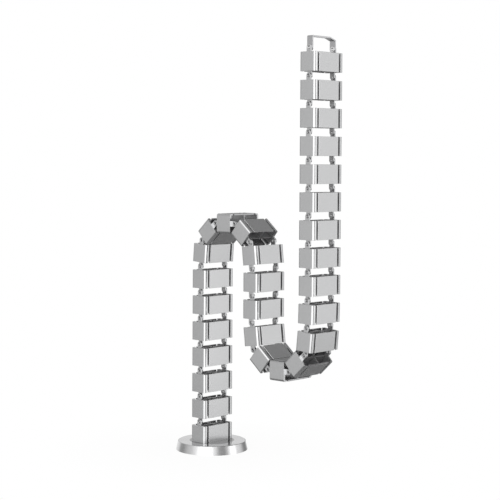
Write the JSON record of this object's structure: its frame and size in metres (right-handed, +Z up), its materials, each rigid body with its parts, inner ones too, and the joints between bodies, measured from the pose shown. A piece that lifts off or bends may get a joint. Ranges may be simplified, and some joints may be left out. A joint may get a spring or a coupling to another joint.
{
  "type": "cable spine",
  "caption": "Hinged cable spine: hollow vertebrae with channels for cables rise in an S from a weighted round base to a fixing bracket at the free end.",
  "frame": {"origin": "centre of the base's underside, on the floor", "axes": "+Z up, +X in the plane in which the chain bends, from the base towards the free end's column, +Y along the pivot axes"},
  "size_m": [0.3104, 0.12, 0.6762],
  "materials": {
    "vertebra": "silver-grey, satin moulded",
    "base": "polished",
    "pad": "matt",
    "screw": "zinc plated",
    "bracket": "satin",
    "rivet": "bright"
  },
  "bodies": {
    "base": {"base_disc": "base", "base_pad": "pad", "base_screw_left": "screw", "base_screw_right": "screw", "vertebra_01": "vertebra"},
    "link_02": {"vertebra_02": "vertebra"},
    "link_03": {"vertebra_03": "vertebra"},
    "link_04": {"vertebra_04": "vertebra"},
    "link_05": {"vertebra_05": "vertebra"},
    "link_06": {"vertebra_06": "vertebra"},
    "link_07": {"vertebra_07": "vertebra"},
    "link_08": {"vertebra_08": "vertebra"},
    "link_09": {"vertebra_09": "vertebra"},
    "link_10": {"vertebra_10": "vertebra"},
    "link_11": {"vertebra_11": "vertebra"},
    "link_12": {"vertebra_12": "vertebra"},
    "link_13": {"vertebra_13": "vertebra"},
    "link_14": {"vertebra_14": "vertebra"},
    "link_15": {"vertebra_15": "vertebra"},
    "link_16": {"vertebra_16": "vertebra"},
    "link_17": {"vertebra_17": "vertebra"},
    "link_18": {"vertebra_18": "vertebra"},
    "link_19": {"vertebra_19": "vertebra"},
    "link_20": {"vertebra_20": "vertebra"},
    "link_21": {"vertebra_21": "vertebra"},
    "link_22": {"vertebra_22": "vertebra"},
    "link_23": {"vertebra_23": "vertebra"},
    "link_24": {"vertebra_24": "vertebra"},
    "link_25": {"vertebra_25": "vertebra"},
    "link_26": {"vertebra_26": "vertebra"},
    "link_27": {"vertebra_27": "vertebra"},
    "link_28": {"vertebra_28": "vertebra"},
    "link_29": {"vertebra_29": "vertebra"},
    "bracket": {"top_bracket": "bracket", "bracket_rivet_left": "rivet", "bracket_rivet_right": "rivet"}
  },
  "joints": [
    {"name": "bend_02", "type": "hinge", "parent": "base", "child": "link_02", "pos_m": [0, 0, 0.0496], "axis": [0, 1, 0], "range_deg": [-44, 44]},
    {"name": "bend_03", "type": "hinge", "parent": "link_02", "child": "link_03", "pos_m": [0, 0, 0.0928], "axis": [0, -1, 0], "range_deg": [-44, 44]},
    {"name": "bend_04", "type": "hinge", "parent": "link_03", "child": "link_04", "pos_m": [0, 0, 0.136], "axis": [0, 1, 0], "range_deg": [-44, 44]},
    {"name": "bend_05", "type": "hinge", "parent": "link_04", "child": "link_05", "pos_m": [0, 0, 0.1792], "axis": [0, -1, 0], "range_deg": [-44, 44]},
    {"name": "bend_06", "type": "hinge", "parent": "link_05", "child": "link_06", "pos_m": [0, 0, 0.22239], "axis": [0, 1, 0], "range_deg": [-44, 44]},
    {"name": "bend_07", "type": "hinge", "parent": "link_06", "child": "link_07", "pos_m": [0, 0, 0.26559], "axis": [0, -1, 0], "range_deg": [-40, 44]},
    {"name": "bend_08", "type": "hinge", "parent": "link_07", "child": "link_08", "pos_m": [0, 0, 0.30879], "axis": [0, 1, 0], "range_deg": [-48.4, 32]},
    {"name": "bend_09", "type": "hinge", "parent": "link_08", "child": "link_09", "pos_m": [0.00331, 0, 0.35186], "axis": [0, -1, 0], "range_deg": [-0.88, 87.12]},
    {"name": "bend_10", "type": "hinge", "parent": "link_09", "child": "link_10", "pos_m": [0.03517, 0, 0.38104], "axis": [0, 1, 0], "range_deg": [-86.46, 1.54]},
    {"name": "bend_11", "type": "hinge", "parent": "link_10", "child": "link_11", "pos_m": [0.07837, 0, 0.38105], "axis": [0, -1, 0], "range_deg": [-3.96, 84.04]},
    {"name": "bend_12", "type": "hinge", "parent": "link_11", "child": "link_12", "pos_m": [0.11146, 0, 0.35327], "axis": [0, 1, 0], "range_deg": [-87.56, 0.44]},
    {"name": "bend_13", "type": "hinge", "parent": "link_12", "child": "link_13", "pos_m": [0.11629, 0, 0.31035], "axis": [0, -1, 0], "range_deg": [-37.58, 50.42]},
    {"name": "bend_14", "type": "hinge", "parent": "link_13", "child": "link_14", "pos_m": [0.11629, 0, 0.26715], "axis": [0, 1, 0], "range_deg": [-44, 44]},
    {"name": "bend_15", "type": "hinge", "parent": "link_14", "child": "link_15", "pos_m": [0.11629, 0, 0.22395], "axis": [0, -1, 0], "range_deg": [-50.6, 37.4]},
    {"name": "bend_16", "type": "hinge", "parent": "link_15", "child": "link_16", "pos_m": [0.12125, 0, 0.18104], "axis": [0, 1, 0], "range_deg": [-0.44, 87.56]},
    {"name": "bend_17", "type": "hinge", "parent": "link_16", "child": "link_17", "pos_m": [0.15442, 0, 0.15336], "axis": [0, -1, 0], "range_deg": [-84.04, 3.96]},
    {"name": "bend_18", "type": "hinge", "parent": "link_17", "child": "link_18", "pos_m": [0.19762, 0, 0.15351], "axis": [0, 1, 0], "range_deg": [-1.54, 86.46]},
    {"name": "bend_19", "type": "hinge", "parent": "link_18", "child": "link_19", "pos_m": [0.22939, 0, 0.18278], "axis": [0, -1, 0], "range_deg": [-86.02, 1.98]},
    {"name": "bend_20", "type": "hinge", "parent": "link_19", "child": "link_20", "pos_m": [0.23339, 0, 0.2258], "axis": [0, 1, 0], "range_deg": [-32, 47.96]},
    {"name": "bend_21", "type": "hinge", "parent": "link_20", "child": "link_21", "pos_m": [0.23442, 0, 0.26898], "axis": [0, -1, 0], "range_deg": [-45.36, 42.64]},
    {"name": "bend_22", "type": "hinge", "parent": "link_21", "child": "link_22", "pos_m": [0.23442, 0, 0.31218], "axis": [0, 1, 0], "range_deg": [-44, 44]},
    {"name": "bend_23", "type": "hinge", "parent": "link_22", "child": "link_23", "pos_m": [0.23442, 0, 0.35538], "axis": [0, -1, 0], "range_deg": [-44, 44]},
    {"name": "bend_24", "type": "hinge", "parent": "link_23", "child": "link_24", "pos_m": [0.23442, 0, 0.39858], "axis": [0, 1, 0], "range_deg": [-44, 44]},
    {"name": "bend_25", "type": "hinge", "parent": "link_24", "child": "link_25", "pos_m": [0.23442, 0, 0.44178], "axis": [0, -1, 0], "range_deg": [-44, 44]},
    {"name": "bend_26", "type": "hinge", "parent": "link_25", "child": "link_26", "pos_m": [0.23442, 0, 0.48498], "axis": [0, 1, 0], "range_deg": [-44, 44]},
    {"name": "bend_27", "type": "hinge", "parent": "link_26", "child": "link_27", "pos_m": [0.23442, 0, 0.52818], "axis": [0, -1, 0], "range_deg": [-44, 44]},
    {"name": "bend_28", "type": "hinge", "parent": "link_27", "child": "link_28", "pos_m": [0.23442, 0, 0.57138], "axis": [0, 1, 0], "range_deg": [-44, 44]},
    {"name": "bend_29", "type": "hinge", "parent": "link_28", "child": "link_29", "pos_m": [0.23442, 0, 0.61457], "axis": [0, -1, 0], "range_deg": [-44, 44]},
    {"name": "bracket_tilt", "type": "hinge", "parent": "link_29", "child": "bracket", "pos_m": [0.23442, 0, 0.65777], "axis": [0, 1, 0], "range_deg": [-80, 80]}
  ]
}
